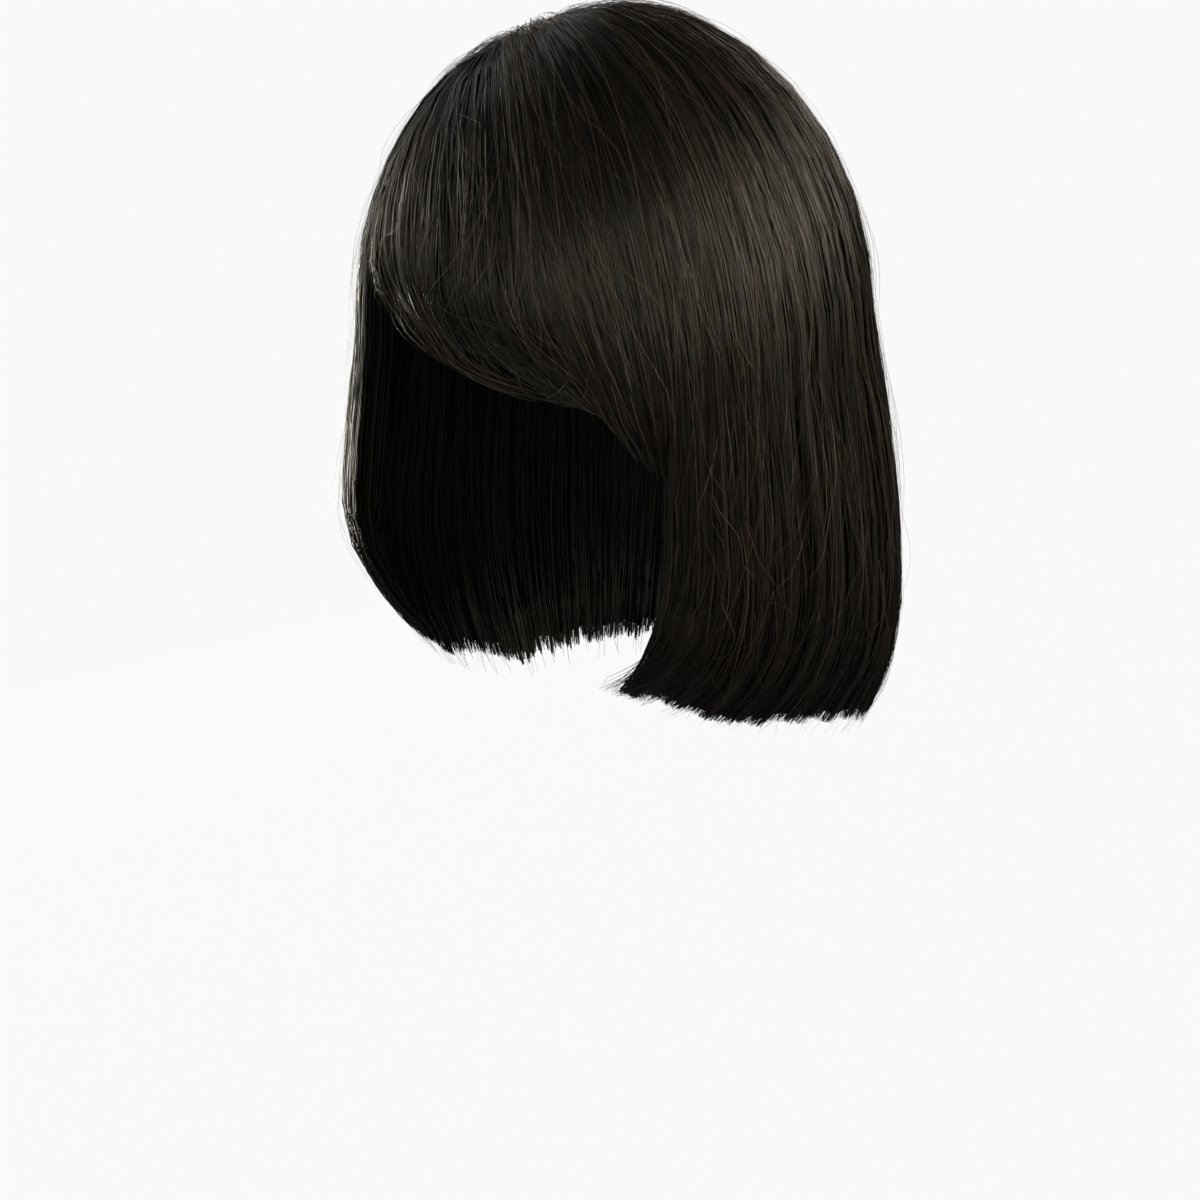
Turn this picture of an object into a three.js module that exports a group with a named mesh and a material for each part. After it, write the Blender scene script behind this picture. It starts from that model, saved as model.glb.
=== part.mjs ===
// Bob wig: a soft cap that carries four sections of straight hair, parted on the wearer's right.
// Millimetres, +Z up. The face looks along -Y and the wearer's left is +X.
// The origin is the crown of the head, where the cap rests on it.
import * as THREE from 'three';

// The head that the cap fits, at its widest level
const HEAD_HALF_WIDTH = 76;
const HEAD_FRONT_DEPTH = 87;
const HEAD_BACK_DEPTH = 95;
const WIDEST_DROP = 106;
const HEAD_POWER = 2.15;

// The cap
const CAP_WALL = 1.5;
const CAP_NAPE_TUCK = 26;
const CAP_COLUMNS = 36;
const CAP_ROWS = 10;

// The outer form of the hair
const HAIR_HALF_WIDTH = 96.5;
const HAIR_FRONT_DEPTH = 98;
const HAIR_BACK_DEPTH = 108;
const HAIR_LIFT = 17;
const HAIR_LEAN = 4;
const HEM_DROP = 298;
const DOME_POWER = 2.0;
const FLARE = 18;
const CURL = 36;

// The hair's thickness, its locks and the gaps between the sections
const HAIR_THICKNESS = 13;
const TIP_THICKNESS = 3;
const LOCK_WIDTH = 13;
const LOCK_RELIEF = 1.6;
const TIP_STAGGER = 5;
const SEAT_GAP = 1.2;
const SECTION_GAP = 1.2;

// The parting, on the wearer's right: its ends as shares of the way from the crown to the widest level
const PART_FRONT = { left: -0.30, back: -0.07 };
const PART_BACK = { left: -0.16, back: 0.17 };
const PART_HALF_WIDTH = 1.6;
// How far down the head a lock still shows which end of the parting it left
const ROOT_REACH = 1.05;
const PART_DIP = 6;
const PART_DIP_REACH = 15;

// Directions are turns in degrees about the head: 0 is the face, 90 the wearer's left, 180 the back.
// The face shows between these two turns.
const FACE_RIGHT = -41;
const FACE_LEFT = 46;

// Flare, curl and hem are shares of FLARE, CURL and HEM_DROP. Bend is where down the skirt the curl
// starts, and swing is how many degrees the tips turn towards the face.
const SKIRT = goRound([
  { turn: -120, flare: 0.67, curl: 1.00, bend: 0.47, hem: 1.00, swing: 2 },
  { turn: -90, flare: 0.67, curl: 0.78, bend: 0.50, hem: 0.946, swing: 4 },
  { turn: -57, flare: 0.54, curl: 0.80, bend: 0.52, hem: 0.83, swing: 5 },
  { turn: -38, flare: 0.40, curl: 0.72, bend: 0.50, hem: 0.78, swing: 7 },
  { turn: 0, flare: 0.20, curl: 0.60, bend: 0.50, hem: 0.74, swing: 0 },
  { turn: 38, flare: 0.28, curl: 0.60, bend: 0.55, hem: 0.775, swing: -10 },
  { turn: 60, flare: 0.56, curl: 0.55, bend: 0.60, hem: 0.82, swing: -9 },
  { turn: 90, flare: 0.80, curl: 0.42, bend: 0.64, hem: 0.875, swing: -7 },
  { turn: 123, flare: 0.94, curl: 0.32, bend: 0.70, hem: 0.957, swing: -4 },
  { turn: 180, flare: 0.78, curl: 0.62, bend: 0.55, hem: 1.00, swing: 0 },
]);

// How far down the head the cap reaches: 0 is the crown, 1 the widest level, 2 the hem
const CAP_EDGE = goRound([
  { turn: -110, reach: 1.05 },
  { turn: -70, reach: 0.86 },
  { turn: 0, reach: 0.60 },
  { turn: 70, reach: 0.86 },
  { turn: 110, reach: 1.05 },
  { turn: 180, reach: 1.26 },
]);

// Guide locks across the fringe. Each leaves the parting towards the root turn, is pulled down to the
// drop, then swept past the sweep turn and reach, and ends at the tip turn and reach.
const FRINGE = [
  { share: 0.00, root: FACE_RIGHT, drop: 0.94, sweep: -39, reach: 0.915, tip: 12, end: 0.97 },
  { share: 0.15, root: -28, drop: 0.91, sweep: -30, reach: 0.92, tip: 19.5, end: 0.965 },
  { share: 0.30, root: -12, drop: 0.96, sweep: -19, reach: 0.95, tip: 27, end: 0.975 },
  { share: 0.45, root: 16, drop: 0.87, sweep: 6, reach: 0.81, tip: 32, end: 1.01 },
  { share: 0.65, root: 24, drop: 0.81, sweep: 17, reach: 0.66, tip: 37, end: 1.115 },
  { share: 0.85, root: 31, drop: 0.71, sweep: 31, reach: 0.71, tip: 42.5, end: 1.18 },
  { share: 1.00, root: FACE_LEFT, drop: 0.35, sweep: FACE_LEFT, reach: 1.02, tip: FACE_LEFT, end: 1.20 },
];

// The other sections, between the turns where their hair hangs
const RIGHT_TURNS = { from: -135, to: FACE_RIGHT };
const LEFT_TURNS = { from: FACE_LEFT, to: 135 };
const BACK_TURNS = { from: 135, to: 225 };

// Rows of facets from root to tip, closer together near the root than at the tip
const FRINGE_ROWS = 16;
const SECTION_ROWS = 18;
const ROOT_CROWDING = 1.25;

// How far down the skirt the flare has opened and the tips start to swing, and how far down the head
// the hair leaves the cap
const FLARE_OPEN = 0.75;
const SWING_FROM = 0.35;
const FREE_FROM = 0.55;
const FREE_BY = 0.9;
// Shares of a lock's length: where its ridge is full, and where it starts to thin to its tip
const RIDGE_FULL = 0.5;
const THIN_FROM = 0.7;

// A table whose rows go once round the head, with its ends repeated so that it reads smoothly there
function goRound(rows) {
  const turned = (row, by) => ({ ...row, turn: row.turn + by });
  const before = rows.slice(-2).map((row) => turned(row, -360));
  const after = rows.slice(0, 2).map((row) => turned(row, 360));
  return [...before, ...rows, ...after];
}

const radians = (degrees) => THREE.MathUtils.degToRad(degrees);
const mix = (a, b, share) => a + (b - a) * share;

// A smooth curve through a table's rows, read in one column
function readTable(table, key, at, column) {
  const last = table.length - 1;
  let row = 0;
  while (row < last - 1 && at > table[row + 1][key]) row += 1;
  const slope = (index) => {
    const a = table[Math.max(index - 1, 0)];
    const b = table[Math.min(index + 1, last)];
    return (b[column] - a[column]) / (b[key] - a[key]);
  };
  const start = table[row];
  const end = table[row + 1];
  const span = end[key] - start[key];
  const s = THREE.MathUtils.clamp((at - start[key]) / span, 0, 1);
  const rise = end[column] - start[column];
  const a = slope(row) * span - rise;
  const b = rise - slope(row + 1) * span;
  return start[column] + rise * s + s * (1 - s) * (a * (1 - s) + b * s);
}

function wrapTurn(turn) {
  return THREE.MathUtils.euclideanModulo(turn + 180, 360) - 180;
}

// Radius of a rounded oval in one direction, with its own depth at the front and at the back
function ovalRadius(turn, halfWidth, frontDepth, backDepth) {
  const side = Math.abs(Math.sin(radians(turn))) / halfWidth;
  const depthwise = -Math.cos(radians(turn));
  const depth = Math.abs(depthwise) / (depthwise < 0 ? frontDepth : backDepth);
  return (side ** HEAD_POWER + depth ** HEAD_POWER) ** (-1 / HEAD_POWER);
}

// How wide and how far down a dome is at a reach from 0, its crown, to 1, its widest level
function domeShape(reach) {
  const angle = Math.min(reach, 1) * Math.PI / 2;
  return {
    width: (1 - Math.cos(angle) ** DOME_POWER) ** (1 / DOME_POWER),
    fall: 1 - Math.cos(angle),
    skirt: Math.max(reach - 1, 0),
  };
}

function skirtFall(turn, skirt) {
  return skirt * (readTable(SKIRT, 'turn', turn, 'hem') * HEM_DROP - WIDEST_DROP);
}

// How far the tips have curled, from 0 at the bend to 1 at the hem
function curledShare(skirt, bend) {
  return Math.max((skirt - bend) / (1 - bend), 0) ** 2;
}

// The outer surface of the hair: its radius, its height and its sideways lean
function hairShape(turn, reach) {
  const dome = domeShape(reach);
  const flare = FLARE * readTable(SKIRT, 'turn', turn, 'flare');
  const curl = CURL * readTable(SKIRT, 'turn', turn, 'curl');
  const bend = readTable(SKIRT, 'turn', turn, 'bend');
  const opened = Math.sin(Math.min(dome.skirt / FLARE_OPEN, 1) * Math.PI / 2);
  const curled = curledShare(dome.skirt, bend);
  const oval = ovalRadius(turn, HAIR_HALF_WIDTH, HAIR_FRONT_DEPTH, HAIR_BACK_DEPTH);
  return {
    radius: oval * dome.width + flare * opened - curl * curled,
    height: HAIR_LIFT - (HAIR_LIFT + WIDEST_DROP) * dome.fall - skirtFall(turn, dome.skirt),
    lean: -HAIR_LEAN * (1 - dome.fall),
  };
}

// A surface that follows the head at a distance: the cap's inner and outer faces and the hair's seat
function headShape(turn, reach, distance) {
  const dome = domeShape(reach);
  const oval = ovalRadius(turn, HEAD_HALF_WIDTH + distance, HEAD_FRONT_DEPTH + distance,
    HEAD_BACK_DEPTH + distance);
  return {
    radius: oval * dome.width - CAP_NAPE_TUCK * dome.skirt,
    height: distance - (distance + WIDEST_DROP) * dome.fall - skirtFall(turn, dome.skirt),
    lean: 0,
  };
}

function placeShape(turn, shape) {
  return new THREE.Vector3(
    shape.radius * Math.sin(radians(turn)) + shape.lean,
    -shape.radius * Math.cos(radians(turn)),
    shape.height,
  );
}

const partFront = new THREE.Vector2(PART_FRONT.left, PART_FRONT.back);
const partBack = new THREE.Vector2(PART_BACK.left, PART_BACK.back);
const partMiddle = partFront.clone().add(partBack).divideScalar(2);
const partHalf = partBack.clone().sub(partFront).divideScalar(2);
const partAlong = partHalf.clone().normalize();
const partAcross = new THREE.Vector2(-partAlong.y, partAlong.x);
// Millimetres on the head for one step on the map
const MAP_SCALE = HAIR_HALF_WIDTH * Math.PI / 2;

const direction = (turn) => new THREE.Vector2(Math.sin(radians(turn)), -Math.cos(radians(turn)));

// Where a lock that hangs in one direction leaves the parting: the roots go once round its slot
function rootOnMap(turn) {
  const way = direction(turn);
  const angle = Math.atan2(way.dot(partAcross), way.dot(partAlong));
  const along = 1 - 2 * Math.abs(angle) / Math.PI;
  const across = Math.sign(angle) * Math.sqrt(Math.max(1 - along * along, 0));
  return partMiddle.clone()
    .addScaledVector(partHalf, along)
    .addScaledVector(partAcross, across * PART_HALF_WIDTH / MAP_SCALE);
}

// The map unrolls the head: the crown at its middle, 1 the widest level and 2 the hem
function strandOnMap(rootTurn, turn, reach) {
  const fade = 1 - THREE.MathUtils.smoothstep(reach, 0, ROOT_REACH);
  return rootOnMap(rootTurn).multiplyScalar(fade).addScaledVector(direction(turn), reach);
}

function partDistance(point) {
  const along = THREE.MathUtils.clamp(point.clone().sub(partMiddle).dot(partAlong),
    -partHalf.length(), partHalf.length());
  return point.distanceTo(partMiddle.clone().addScaledVector(partAlong, along)) * MAP_SCALE;
}

// The outer and the inner point of the hair over one place on the map, for a wall thickness
function hairWall(point, thickness, relief) {
  const reach = point.length();
  const turn = wrapTurn(THREE.MathUtils.radToDeg(Math.atan2(point.x, -point.y)));
  const dip = PART_DIP * Math.exp(-((partDistance(point) / PART_DIP_REACH) ** 2));
  const outer = hairShape(turn, reach);
  const seat = headShape(turn, reach, CAP_WALL + SEAT_GAP);
  const level = Math.min(reach, 1) ** 2;
  const raised = relief - dip;
  outer.height += raised * (1 - level);
  outer.radius += raised * level;
  const freed = THREE.MathUtils.smoothstep(reach, FREE_FROM, FREE_BY);
  const hanging = outer.radius + outer.lean * Math.sin(radians(turn)) - thickness;
  seat.radius = mix(seat.radius, Math.max(seat.radius, hanging), freed);
  return { outer: placeShape(turn, outer), inner: placeShape(turn, seat) };
}

// A closed wall between two matching grids of points, with the grids' four sides closed
function closedWall(outer, inner) {
  const columns = outer.length;
  const rows = outer[0].length;
  const positions = [];
  for (const grid of [outer, inner]) {
    for (const line of grid) {
      for (const point of line) positions.push(point.x, point.y, point.z);
    }
  }
  const outerAt = (i, j) => i * rows + j;
  const innerAt = (i, j) => (columns + i) * rows + j;
  const faces = [];
  const quad = (a, b, c, d) => faces.push(a, b, c, a, c, d);
  for (let i = 0; i < columns - 1; i += 1) {
    for (let j = 0; j < rows - 1; j += 1) {
      quad(outerAt(i, j), outerAt(i, j + 1), outerAt(i + 1, j + 1), outerAt(i + 1, j));
      quad(innerAt(i, j), innerAt(i + 1, j), innerAt(i + 1, j + 1), innerAt(i, j + 1));
    }
    quad(outerAt(i, 0), outerAt(i + 1, 0), innerAt(i + 1, 0), innerAt(i, 0));
    quad(outerAt(i, rows - 1), innerAt(i, rows - 1), innerAt(i + 1, rows - 1), outerAt(i + 1, rows - 1));
  }
  for (let j = 0; j < rows - 1; j += 1) {
    quad(outerAt(0, j), innerAt(0, j), innerAt(0, j + 1), outerAt(0, j + 1));
    const i = columns - 1;
    quad(outerAt(i, j), outerAt(i, j + 1), innerAt(i, j + 1), innerAt(i, j));
  }
  const geometry = new THREE.BufferGeometry();
  geometry.setAttribute('position', new THREE.Float32BufferAttribute(positions, 3));
  geometry.setIndex(faces);
  geometry.computeVertexNormals();
  return geometry;
}

// A repeatable number from 0 to 1 for each lock, so that no two neighbours match
function uneven(index) {
  const value = Math.sin(index * 12.9898 + 4.1) * 43758.5453;
  return value - Math.floor(value);
}

// A section of hair. Each lock has a ridge, and a groove before the next lock.
// route(share, along) gives the place on the map, share across the section and along the strand.
function hairSection(locks, rows, tipShare, route) {
  const columns = locks * 2;
  const outer = [];
  const inner = [];
  for (let i = 0; i <= columns; i += 1) {
    const ridge = i % 2 === 1;
    const tip = 1 - tipShare * (ridge ? 0.35 * uneven(i) : 0.55 + 0.45 * uneven(i + 31));
    const outerLine = [];
    const innerLine = [];
    for (let j = 0; j <= rows; j += 1) {
      const along = (j / rows) ** ROOT_CROWDING;
      const point = route(i / columns, along * tip);
      const edge = i === 0 || i === columns;
      if (edge) {
        const neighbour = i === 0 ? 1 : columns - 1;
        const inside = route(neighbour / columns, along * tip).sub(point);
        point.addScaledVector(inside.normalize(), SECTION_GAP / 2 / MAP_SCALE);
      }
      const grown = edge ? 0 : THREE.MathUtils.smoothstep(along, 0, RIDGE_FULL);
      const relief = LOCK_RELIEF * grown * (ridge ? 0.5 + uneven(i + 7) : -0.5);
      const taper = THREE.MathUtils.smoothstep(along, THIN_FROM, 1);
      const wall = hairWall(point, mix(HAIR_THICKNESS, TIP_THICKNESS, taper), relief);
      outerLine.push(wall.outer);
      innerLine.push(wall.inner);
    }
    outer.push(outerLine);
    inner.push(innerLine);
  }
  return closedWall(outer, inner);
}

function countLocks(turns) {
  const middle = (turns.from + turns.to) / 2;
  const radius = hairShape(wrapTurn(middle), 1).radius;
  return Math.max(Math.round(radians(turns.to - turns.from) * radius / LOCK_WIDTH), 4);
}

// A section whose locks hang straight down from the parting, between two turns
function hangingSection(turns) {
  const locks = countLocks(turns);
  const tipShare = TIP_STAGGER / HEM_DROP;
  return hairSection(locks, SECTION_ROWS, tipShare, (share, along) => {
    const turn = mix(turns.from, turns.to, share);
    const reach = 2 * along;
    const swing = readTable(SKIRT, 'turn', wrapTurn(turn), 'swing');
    const swung = swing * curledShare(reach - 1, SWING_FROM);
    return strandOnMap(turn, turn + swung, reach);
  });
}

// The fringe: each guide lock is a cubic curve from the root past its drop and its sweep to its tip
function fringeRoute(share, along) {
  const read = (column) => readTable(FRINGE, 'share', share, column);
  const left = 1 - along;
  const weights = [left ** 3, 3 * left * left * along, 3 * left * along * along, along ** 3];
  const turn = (weights[0] + weights[1]) * read('root') + weights[2] * read('sweep')
    + weights[3] * read('tip');
  const reach = weights[1] * read('drop') + weights[2] * read('reach') + weights[3] * read('end');
  return strandOnMap(read('root'), turn, reach);
}

function fringe() {
  const turns = { from: FRINGE[0].root, to: FRINGE[FRINGE.length - 1].root };
  const tipShare = TIP_STAGGER / (WIDEST_DROP + HAIR_LIFT);
  return hairSection(countLocks(turns), FRINGE_ROWS, tipShare, fringeRoute);
}

// The cap: a thin dome with a smooth edge that rises over the forehead and drops to the nape
function cap() {
  const positions = [];
  const faces = [];
  const ring = (line, row, column) => line + 1 + (row - 1) * CAP_COLUMNS + (column % CAP_COLUMNS);
  const lineLength = 1 + CAP_ROWS * CAP_COLUMNS;
  for (const distance of [CAP_WALL, 0]) {
    positions.push(0, 0, distance);
    for (let row = 1; row <= CAP_ROWS; row += 1) {
      for (let column = 0; column < CAP_COLUMNS; column += 1) {
        const turn = wrapTurn(360 * column / CAP_COLUMNS);
        const reach = readTable(CAP_EDGE, 'turn', turn, 'reach') * row / CAP_ROWS;
        const point = placeShape(turn, headShape(turn, reach, distance));
        positions.push(point.x, point.y, point.z);
      }
    }
  }
  for (let column = 0; column < CAP_COLUMNS; column += 1) {
    faces.push(0, ring(0, 1, column), ring(0, 1, column + 1));
    faces.push(lineLength, ring(lineLength, 1, column + 1), ring(lineLength, 1, column));
    for (let row = 1; row < CAP_ROWS; row += 1) {
      const next = row + 1;
      const after = column + 1;
      faces.push(ring(0, row, column), ring(0, next, column), ring(0, next, after));
      faces.push(ring(0, row, column), ring(0, next, after), ring(0, row, after));
      faces.push(ring(lineLength, row, column), ring(lineLength, next, after), ring(lineLength, next, column));
      faces.push(ring(lineLength, row, column), ring(lineLength, row, after), ring(lineLength, next, after));
    }
    const outerEdge = [ring(0, CAP_ROWS, column), ring(0, CAP_ROWS, column + 1)];
    const innerEdge = [ring(lineLength, CAP_ROWS, column), ring(lineLength, CAP_ROWS, column + 1)];
    faces.push(outerEdge[0], innerEdge[0], innerEdge[1]);
    faces.push(outerEdge[0], innerEdge[1], outerEdge[1]);
  }
  const geometry = new THREE.BufferGeometry();
  geometry.setAttribute('position', new THREE.Float32BufferAttribute(positions, 3));
  geometry.setIndex(faces);
  geometry.computeVertexNormals();
  return geometry;
}

function piece(name, geometry, colour, roughness) {
  const material = new THREE.MeshStandardMaterial({ color: colour, roughness, metalness: 0 });
  const mesh = new THREE.Mesh(geometry, material);
  mesh.name = name;
  return mesh;
}

const HAIR_COLOUR = 0x1b1715;
const HAIR_ROUGHNESS = 0.45;
const CAP_COLOUR = 0x0f0e0e;
const CAP_ROUGHNESS = 0.85;

const group = new THREE.Group();
group.add(piece('cap', cap(), CAP_COLOUR, CAP_ROUGHNESS));
group.add(piece('fringe', fringe(), HAIR_COLOUR, HAIR_ROUGHNESS));
group.add(piece('left_side_hair', hangingSection(LEFT_TURNS), HAIR_COLOUR, HAIR_ROUGHNESS));
group.add(piece('back_hair', hangingSection(BACK_TURNS), HAIR_COLOUR, HAIR_ROUGHNESS));
group.add(piece('right_side_hair', hangingSection(RIGHT_TURNS), HAIR_COLOUR, HAIR_ROUGHNESS));

export default group;
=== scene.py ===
# Bob wig: dark straight hair on a net cap, parted on the wearer's right, with a swept fringe.
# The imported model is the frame. Each section of hair gets a dense under layer and thousands of strands.
import math

import bpy
import numpy as np
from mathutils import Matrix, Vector


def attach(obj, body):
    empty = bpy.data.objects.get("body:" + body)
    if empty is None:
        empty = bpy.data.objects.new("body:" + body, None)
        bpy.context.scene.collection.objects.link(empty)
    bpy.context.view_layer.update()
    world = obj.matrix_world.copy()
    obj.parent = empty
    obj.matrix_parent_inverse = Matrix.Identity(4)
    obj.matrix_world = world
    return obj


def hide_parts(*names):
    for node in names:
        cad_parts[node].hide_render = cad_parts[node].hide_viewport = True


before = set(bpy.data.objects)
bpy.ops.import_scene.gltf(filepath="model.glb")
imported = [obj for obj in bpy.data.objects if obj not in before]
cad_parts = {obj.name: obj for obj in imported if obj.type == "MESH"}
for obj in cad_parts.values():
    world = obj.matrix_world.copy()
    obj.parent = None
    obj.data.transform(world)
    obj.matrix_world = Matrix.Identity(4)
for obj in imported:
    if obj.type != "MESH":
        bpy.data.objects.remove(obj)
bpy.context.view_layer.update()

# The hair is worked out in millimetres, as the model is, and a mesh gets metres
METRES = 0.001

# Camera, floor and lights, in metres and degrees
CAMERA_PLACE = (0.6357, -0.9845, 0.3952)
CAMERA_AIM = (0.0827, -0.1356, -0.1478)
CAMERA_LENS = 96.5
FLOOR_HEIGHT = -0.95
FLOOR_GLOW = 0.95

# The head that the cap fits, at its widest level
HEAD_HALF_WIDTH = 76
HEAD_FRONT_DEPTH = 87
HEAD_BACK_DEPTH = 95
WIDEST_DROP = 106
HEAD_POWER = 2.15
CAP_WALL = 1.5
CAP_NAPE_TUCK = 26
SEAT_GAP = 1.2

# The outer form of the hair
HAIR_HALF_WIDTH = 96.5
HAIR_FRONT_DEPTH = 98
HAIR_BACK_DEPTH = 108
HAIR_LIFT = 17
HAIR_LEAN = 4
HEM_DROP = 298
DOME_POWER = 2.0
FLARE = 18
CURL = 36
FLARE_OPEN = 0.75
SWING_FROM = 0.35
FREE_FROM = 0.55
FREE_BY = 0.9

# The hair's thickness, its locks and its tips
HAIR_THICKNESS = 13
TIP_THICKNESS = 3
LOCK_WIDTH = 13
FEWEST_LOCKS = 4
LOCK_RELIEF = 1.6
TIP_STAGGER = 5
RIDGE_FULL = 0.5
THIN_FROM = 0.7

# The parting, on the wearer's right: its ends as shares of the way from the crown to the widest level
PART_FRONT = np.array([-0.30, -0.07])
PART_BACK = np.array([-0.16, 0.17])
PART_HALF_WIDTH = 1.6
ROOT_REACH = 1.05
PART_DIP = 6
PART_DIP_REACH = 15

# Turns about the head, in degrees: 0 is the face, 90 the wearer's left, 180 the back
FACE_RIGHT = -41
FACE_LEFT = 46


def make_table(names, rows):
    """A table with a named column for each of its rows' values."""
    return dict(zip(names.split(), np.array(rows, float).T))


def go_round(table):
    """A table by turn, with its ends repeated so that it reads smoothly all round the head."""
    joined = {}
    for name, column in table.items():
        shift = 360 if name == "turn" else 0
        joined[name] = np.concatenate([column[-2:] - shift, column, column[:2] + shift])
    return joined


# Flare, curl and hem are shares of FLARE, CURL and HEM_DROP. Bend is where down the skirt the curl
# starts, and swing is how many degrees the tips turn towards the face.
SKIRT = go_round(make_table("turn flare curl bend hem swing", [
    (-120, 0.67, 1.00, 0.47, 1.000, 2),
    (-90, 0.67, 0.78, 0.50, 0.946, 4),
    (-57, 0.54, 0.80, 0.52, 0.830, 5),
    (-38, 0.40, 0.72, 0.50, 0.780, 7),
    (0, 0.20, 0.60, 0.50, 0.740, 0),
    (38, 0.28, 0.60, 0.55, 0.775, -10),
    (60, 0.56, 0.55, 0.60, 0.820, -9),
    (90, 0.80, 0.42, 0.64, 0.875, -7),
    (123, 0.94, 0.32, 0.70, 0.957, -4),
    (180, 0.78, 0.62, 0.55, 1.000, 0),
]))

# Guide locks across the fringe, each from the parting past its drop and its sweep to its tip
FRINGE = make_table("share root drop sweep reach tip end", [
    (0.00, FACE_RIGHT, 0.94, -39, 0.915, 12, 0.97),
    (0.15, -28, 0.91, -30, 0.92, 19.5, 0.965),
    (0.30, -12, 0.96, -19, 0.95, 27, 0.975),
    (0.45, 16, 0.87, 6, 0.81, 32, 1.01),
    (0.65, 24, 0.81, 17, 0.66, 37, 1.115),
    (0.85, 31, 0.71, 31, 0.71, 42.5, 1.18),
    (1.00, FACE_LEFT, 0.35, FACE_LEFT, 1.02, FACE_LEFT, 1.20),
])


def read_table(table, key, at, column):
    """A smooth curve through a table's rows, read in one column at many places."""
    keys = table[key]
    values = table[column]
    last = len(keys) - 1
    row = np.clip(np.searchsorted(keys, at, side="left") - 1, 0, last - 1)
    before = np.maximum(np.arange(last + 1) - 1, 0)
    after = np.minimum(np.arange(last + 1) + 1, last)
    slope = (values[after] - values[before]) / (keys[after] - keys[before])
    span = keys[row + 1] - keys[row]
    s = np.clip((at - keys[row]) / span, 0, 1)
    rise = values[row + 1] - values[row]
    a = slope[row] * span - rise
    b = rise - slope[row + 1] * span
    return values[row] + rise * s + s * (1 - s) * (a * (1 - s) + b * s)


def smoothstep(value, start, end):
    s = np.clip((value - start) / (end - start), 0, 1)
    return s * s * (3 - 2 * s)


def mix(a, b, share):
    return a + (b - a) * share


def wrap_turn(turn):
    return (turn + 180) % 360 - 180


def uneven(index):
    """A repeatable number from 0 to 1 for each lock, so that no two neighbours match."""
    value = np.sin(index * 12.9898 + 4.1) * 43758.5453
    return value - np.floor(value)


def unit(vectors):
    return vectors / np.maximum(np.linalg.norm(vectors, axis=-1, keepdims=True), 1e-9)


def oval_radius(turn, half_width, front_depth, back_depth):
    """Radius of a rounded oval in one direction, with its own depth at the front and at the back."""
    side = np.abs(np.sin(np.radians(turn))) / half_width
    depthwise = -np.cos(np.radians(turn))
    depth = np.abs(depthwise) / np.where(depthwise < 0, front_depth, back_depth)
    return (side ** HEAD_POWER + depth ** HEAD_POWER) ** (-1 / HEAD_POWER)


def dome_shape(reach):
    """How wide, how far down and how far along the skirt a reach is: 0 crown, 1 widest, 2 hem."""
    angle = np.minimum(reach, 1) * math.pi / 2
    cosine = np.clip(np.cos(angle), 0, 1)
    width = (1 - cosine ** DOME_POWER) ** (1 / DOME_POWER)
    return width, 1 - cosine, np.maximum(reach - 1, 0)


def skirt_fall(turn, skirt):
    return skirt * (read_table(SKIRT, "turn", turn, "hem") * HEM_DROP - WIDEST_DROP)


def curled_share(skirt, bend):
    return np.maximum((skirt - bend) / (1 - bend), 0) ** 2


def hair_shape(turn, reach):
    """The outer surface of the hair: its radius, height and sideways lean."""
    width, fall, skirt = dome_shape(reach)
    flare = FLARE * read_table(SKIRT, "turn", turn, "flare")
    curl = CURL * read_table(SKIRT, "turn", turn, "curl")
    bend = read_table(SKIRT, "turn", turn, "bend")
    opened = np.sin(np.minimum(skirt / FLARE_OPEN, 1) * math.pi / 2)
    oval = oval_radius(turn, HAIR_HALF_WIDTH, HAIR_FRONT_DEPTH, HAIR_BACK_DEPTH)
    radius = oval * width + flare * opened - curl * curled_share(skirt, bend)
    height = HAIR_LIFT - (HAIR_LIFT + WIDEST_DROP) * fall - skirt_fall(turn, skirt)
    return radius, height, -HAIR_LEAN * (1 - fall)


def head_shape(turn, reach, distance):
    """A surface that follows the head at a distance: its radius and height."""
    width, fall, skirt = dome_shape(reach)
    oval = oval_radius(
        turn, HEAD_HALF_WIDTH + distance, HEAD_FRONT_DEPTH + distance, HEAD_BACK_DEPTH + distance)
    radius = oval * width - CAP_NAPE_TUCK * skirt
    return radius, distance - (distance + WIDEST_DROP) * fall - skirt_fall(turn, skirt)


def place(turn, radius, height, lean):
    angle = np.radians(turn)
    return np.stack([radius * np.sin(angle) + lean, -radius * np.cos(angle), height], axis=-1)


PART_MIDDLE = (PART_FRONT + PART_BACK) / 2
PART_HALF = (PART_BACK - PART_FRONT) / 2
PART_ALONG = PART_HALF / np.linalg.norm(PART_HALF)
PART_ACROSS = np.array([-PART_ALONG[1], PART_ALONG[0]])
# Millimetres on the head for one step on the map
MAP_SCALE = HAIR_HALF_WIDTH * math.pi / 2


def direction(turn):
    angle = np.radians(turn)
    return np.stack([np.sin(angle), -np.cos(angle)], axis=-1)


def root_on_map(turn):
    """Where a lock that hangs in one direction leaves the parting: the roots go once round its slot."""
    way = direction(turn)
    angle = np.arctan2(way @ PART_ACROSS, way @ PART_ALONG)
    along = 1 - 2 * np.abs(angle) / math.pi
    across = np.sign(angle) * np.sqrt(np.maximum(1 - along * along, 0))
    side = across * PART_HALF_WIDTH / MAP_SCALE
    return PART_MIDDLE + along[..., None] * PART_HALF + side[..., None] * PART_ACROSS


def strand_on_map(root_turn, turn, reach):
    """The map unrolls the head: the crown at its middle, 1 the widest level and 2 the hem."""
    fade = 1 - smoothstep(reach, 0, ROOT_REACH)
    return root_on_map(root_turn) * fade[..., None] + direction(turn) * reach[..., None]


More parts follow.
